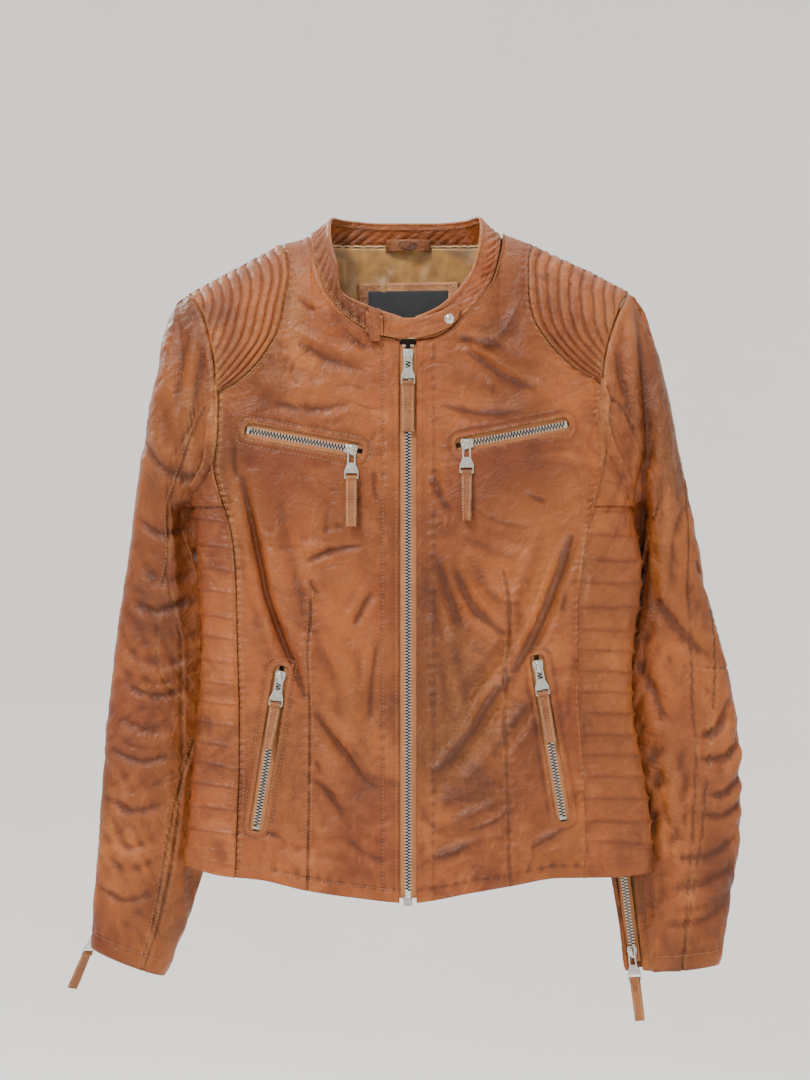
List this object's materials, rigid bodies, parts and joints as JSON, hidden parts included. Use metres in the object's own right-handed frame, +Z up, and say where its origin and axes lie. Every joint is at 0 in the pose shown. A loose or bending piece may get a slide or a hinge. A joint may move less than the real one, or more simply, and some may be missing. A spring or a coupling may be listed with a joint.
{
  "type": "leather riding jacket",
  "caption": "Hanging leather riding jacket with band collar, snap strap, quilted shoulders and sides, front, chest, pocket and cuff zips with leather pulls.",
  "frame": {"origin": "on the line of a coat hanger's hook, at the height of the neck's hanging loop, midway between the jacket's front and back", "axes": "+Z up, -Y out of the jacket's front, +X to the viewer's right, which is the wearer's left"},
  "size_m": [0.6219, 0.1189, 0.7412],
  "materials": {
    "tan_leather": "worn tan leather, semi-matt with pale rubbed seams",
    "patch_leather": "lighter smooth leather",
    "nickel": "bright nickel plate, slightly dulled",
    "satin_lining": "ochre satin",
    "zip_tape": "orange-tan woven tape",
    "label_cloth": "black woven cloth"
  },
  "bodies": {
    "jacket_body": {"back_panel": "tan_leather", "body_lining": "satin_lining", "chest_zip_l_tape": "zip_tape", "chest_zip_l_teeth": "nickel", "chest_zip_r_tape": "zip_tape", "chest_zip_r_teeth": "nickel", "collar_band": "tan_leather", "cuff_zip_l_tape": "zip_tape", "cuff_zip_l_teeth": "nickel", "cuff_zip_r_tape": "zip_tape", "cuff_zip_r_teeth": "nickel", "front_panel_l": "tan_leather", "front_panel_r": "tan_leather", "hanger_loop": "tan_leather", "label": "label_cloth", "label_patch": "patch_leather", "main_zip_tape_l": "zip_tape", "main_zip_tape_r": "zip_tape", "main_zip_teeth_l": "nickel", "main_zip_teeth_r": "nickel", "pocket_zip_l_tape": "zip_tape", "pocket_zip_l_teeth": "nickel", "pocket_zip_r_tape": "zip_tape", "pocket_zip_r_teeth": "nickel", "shoulder_patch_l": "tan_leather", "shoulder_patch_r": "tan_leather", "side_panel_l": "tan_leather", "side_panel_r": "tan_leather", "sleeve_lining_l": "satin_lining", "sleeve_lining_r": "satin_lining", "sleeve_under_l": "tan_leather", "sleeve_under_r": "tan_leather", "sleeve_upper_l": "tan_leather", "sleeve_upper_r": "tan_leather", "snap_stud": "nickel", "strap_base": "tan_leather", "strap_keeper": "tan_leather"},
    "strap": {"strap_tab": "tan_leather", "snap_cap": "nickel"},
    "main_zip_slider": {"main_zip_slider": "nickel"},
    "main_zip_puller": {"main_zip_puller": "nickel"},
    "main_zip_tab": {"main_zip_tab": "tan_leather"},
    "chest_zip_l_slider": {"chest_zip_l_slider": "nickel"},
    "chest_zip_l_puller": {"chest_zip_l_puller": "nickel"},
    "chest_zip_l_tab": {"chest_zip_l_tab": "tan_leather"},
    "chest_zip_r_slider": {"chest_zip_r_slider": "nickel"},
    "chest_zip_r_puller": {"chest_zip_r_puller": "nickel"},
    "chest_zip_r_tab": {"chest_zip_r_tab": "tan_leather"},
    "pocket_zip_l_slider": {"pocket_zip_l_slider": "nickel"},
    "pocket_zip_l_puller": {"pocket_zip_l_puller": "nickel"},
    "pocket_zip_l_tab": {"pocket_zip_l_tab": "tan_leather"},
    "pocket_zip_r_slider": {"pocket_zip_r_slider": "nickel"},
    "pocket_zip_r_puller": {"pocket_zip_r_puller": "nickel"},
    "pocket_zip_r_tab": {"pocket_zip_r_tab": "tan_leather"},
    "cuff_zip_l_slider": {"cuff_zip_l_slider": "nickel"},
    "cuff_zip_l_puller": {"cuff_zip_l_puller": "nickel"},
    "cuff_zip_l_tab": {"cuff_zip_l_tab": "tan_leather"},
    "cuff_zip_r_slider": {"cuff_zip_r_slider": "nickel"},
    "cuff_zip_r_puller": {"cuff_zip_r_puller": "nickel"},
    "cuff_zip_r_tab": {"cuff_zip_r_tab": "tan_leather"}
  },
  "joints": [
    {"name": "strap_open", "type": "hinge", "parent": "jacket_body", "child": "strap", "pos_m": [-0.0216, -0.052, -0.081], "axis": [0, 0, -1], "range_deg": [0, 50]},
    {"name": "main_zip_slide", "type": "slide", "parent": "jacket_body", "child": "main_zip_slider", "axis": [0, 0, -1], "range_m": [0, 0.4773]},
    {"name": "main_zip_puller_lift", "type": "hinge", "parent": "main_zip_slider", "child": "main_zip_puller", "pos_m": [0, -0.0494, -0.1081], "axis": [-1, 0, 0], "range_deg": [0, 120]},
    {"name": "main_zip_tab_lift", "type": "hinge", "parent": "main_zip_puller", "child": "main_zip_tab", "pos_m": [0, -0.0494, -0.1328], "axis": [-1, 0, 0], "range_deg": [0, 60]},
    {"name": "chest_zip_l_slide", "type": "slide", "parent": "jacket_body", "child": "chest_zip_l_slider", "axis": [-0.9832, 0.0207, 0.1811], "range_m": [0, 0.0854]},
    {"name": "chest_zip_l_puller_lift", "type": "hinge", "parent": "chest_zip_l_slider", "child": "chest_zip_l_puller", "pos_m": [-0.05069, -0.04943, -0.19341], "axis": [-0.9998, 0.0214, 0], "range_deg": [0, 114]},
    {"name": "chest_zip_l_tab_lift", "type": "hinge", "parent": "chest_zip_l_puller", "child": "chest_zip_l_tab", "pos_m": [-0.05074, -0.05196, -0.21798], "axis": [-0.9998, 0.0214, 0], "range_deg": [0, 60]},
    {"name": "chest_zip_r_slide", "type": "slide", "parent": "jacket_body", "child": "chest_zip_r_slider", "axis": [0.9813, 0.0165, 0.1918], "range_m": [0, 0.0819]},
    {"name": "chest_zip_r_puller_lift", "type": "hinge", "parent": "chest_zip_r_slider", "child": "chest_zip_r_puller", "pos_m": [0.05246, -0.04945, -0.18837], "axis": [-0.9999, -0.0168, 0], "range_deg": [0, 114]},
    {"name": "chest_zip_r_tab_lift", "type": "hinge", "parent": "chest_zip_r_puller", "child": "chest_zip_r_tab", "pos_m": [0.05251, -0.05202, -0.21294], "axis": [-0.9999, -0.0168, 0], "range_deg": [0, 60]},
    {"name": "pocket_zip_l_slide", "type": "slide", "parent": "jacket_body", "child": "pocket_zip_l_slider", "axis": [-0.1585, 0.009, -0.9873], "range_m": [0, 0.1286]},
    {"name": "pocket_zip_l_puller_lift", "type": "hinge", "parent": "pocket_zip_l_slider", "child": "pocket_zip_l_puller", "pos_m": [-0.11502, -0.04805, -0.39727], "axis": [-0.9842, 0.0787, 0.1587], "range_deg": [0, 120]},
    {"name": "pocket_zip_l_tab_lift", "type": "hinge", "parent": "pocket_zip_l_puller", "child": "pocket_zip_l_tab", "pos_m": [-0.11901, -0.0489, -0.42163], "axis": [-0.9842, 0.0787, 0.1587], "range_deg": [0, 60]},
    {"name": "pocket_zip_r_slide", "type": "slide", "parent": "jacket_body", "child": "pocket_zip_r_slider", "axis": [0.1634, 0.0051, -0.9865], "range_m": [0, 0.1298]},
    {"name": "pocket_zip_r_puller_lift", "type": "hinge", "parent": "pocket_zip_r_slider", "child": "pocket_zip_r_puller", "pos_m": [0.11683, -0.04886, -0.38737], "axis": [-0.985, -0.0559, -0.1634], "range_deg": [0, 120]},
    {"name": "pocket_zip_r_tab_lift", "type": "hinge", "parent": "pocket_zip_r_puller", "child": "pocket_zip_r_tab", "pos_m": [0.12092, -0.04981, -0.41171], "axis": [-0.985, -0.0559, -0.1634], "range_deg": [0, 60]},
    {"name": "cuff_zip_l_slide", "type": "slide", "parent": "jacket_body", "child": "cuff_zip_l_slider", "axis": [0.0885, 0.0481, 0.9949], "range_m": [0, 0.0969]},
    {"name": "cuff_zip_l_puller_lift", "type": "hinge", "parent": "cuff_zip_l_slider", "child": "cuff_zip_l_puller", "pos_m": [-0.28771, 0.02257, -0.6347], "axis": [0.6664, 0.7395, -0.0951], "range_deg": [-25, 95]},
    {"name": "cuff_zip_l_tab_lift", "type": "hinge", "parent": "cuff_zip_l_puller", "child": "cuff_zip_l_tab", "pos_m": [-0.29742, 0.0285, -0.65662], "axis": [0.6664, 0.7395, -0.0951], "range_deg": [0, 60]},
    {"name": "cuff_zip_r_slide", "type": "slide", "parent": "jacket_body", "child": "cuff_zip_r_slider", "axis": [-0.117, 0.0472, 0.992], "range_m": [0, 0.076]},
    {"name": "cuff_zip_r_puller_lift", "type": "hinge", "parent": "cuff_zip_r_slider", "child": "cuff_zip_r_puller", "pos_m": [0.20638, 0.01659, -0.65415], "axis": [-0.9008, 0.4156, -0.126], "range_deg": [0, 60]},
    {"name": "cuff_zip_r_tab_lift", "type": "hinge", "parent": "cuff_zip_r_puller", "child": "cuff_zip_r_tab", "pos_m": [0.20927, 0.01543, -0.67865], "axis": [-0.9008, 0.4156, -0.126], "range_deg": [0, 60]}
  ]
}
